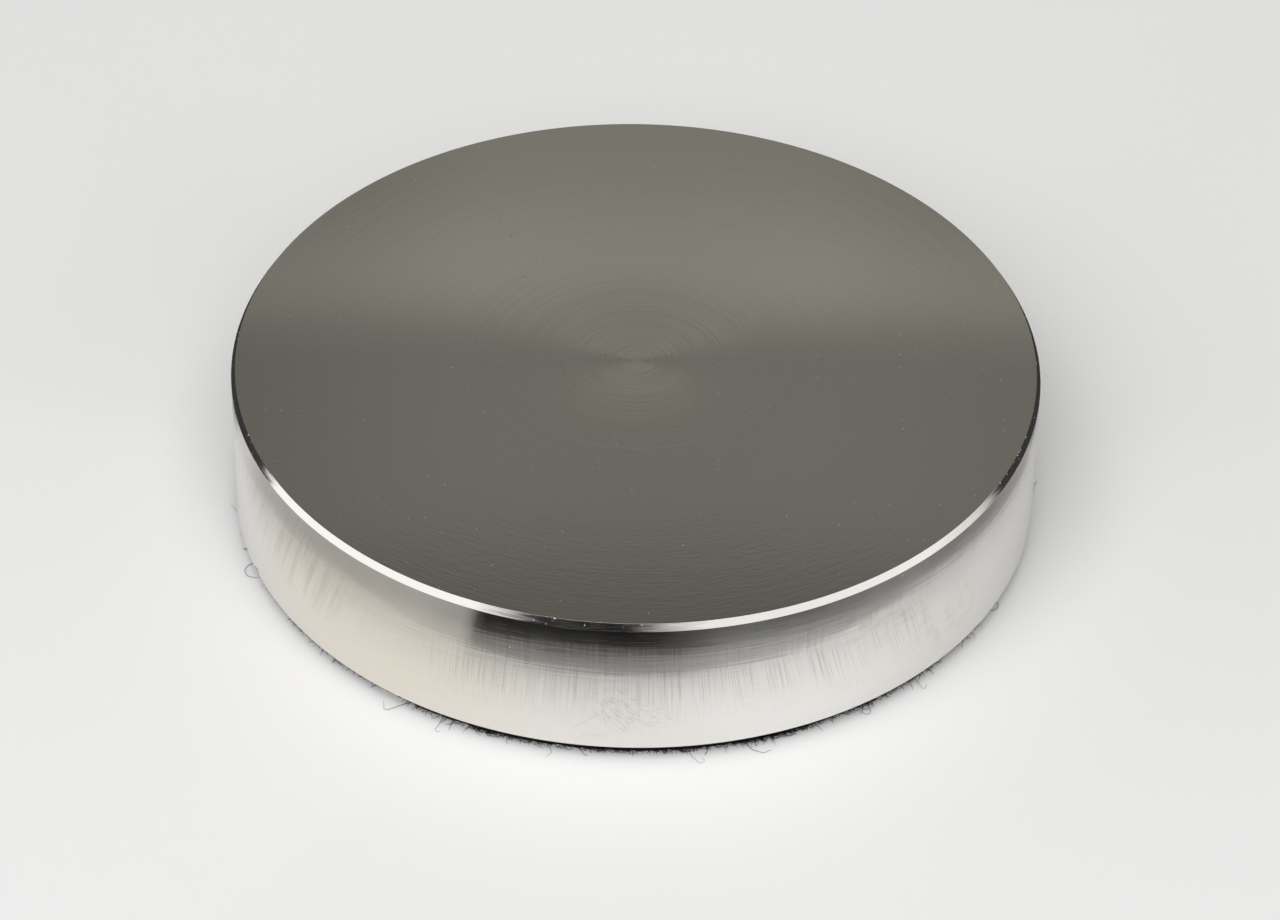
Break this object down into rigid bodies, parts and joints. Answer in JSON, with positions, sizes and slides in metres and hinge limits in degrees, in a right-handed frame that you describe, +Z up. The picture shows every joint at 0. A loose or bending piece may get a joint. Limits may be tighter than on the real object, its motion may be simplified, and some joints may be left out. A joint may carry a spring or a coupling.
{
  "type": "record weight",
  "caption": "Low solid metal disc with a chamfered top edge, a blind spindle hole beneath and a felt pad, set on a record's label to press the record to the platter.",
  "frame": {"origin": "centre of the felt pad's underside, on the axis of the turning", "axes": "+Z up along the axis of the turning, from the felt to the plain top face"},
  "size_m": [0.078, 0.078, 0.0165],
  "materials": {
    "turned_steel": "fine turned, with a bright chamfer",
    "black_felt": "napped felt with loose fibres at its edge"
  },
  "bodies": {
    "root": {"weight_body": "turned_steel", "felt_pad": "black_felt"}
  },
  "joints": []
}
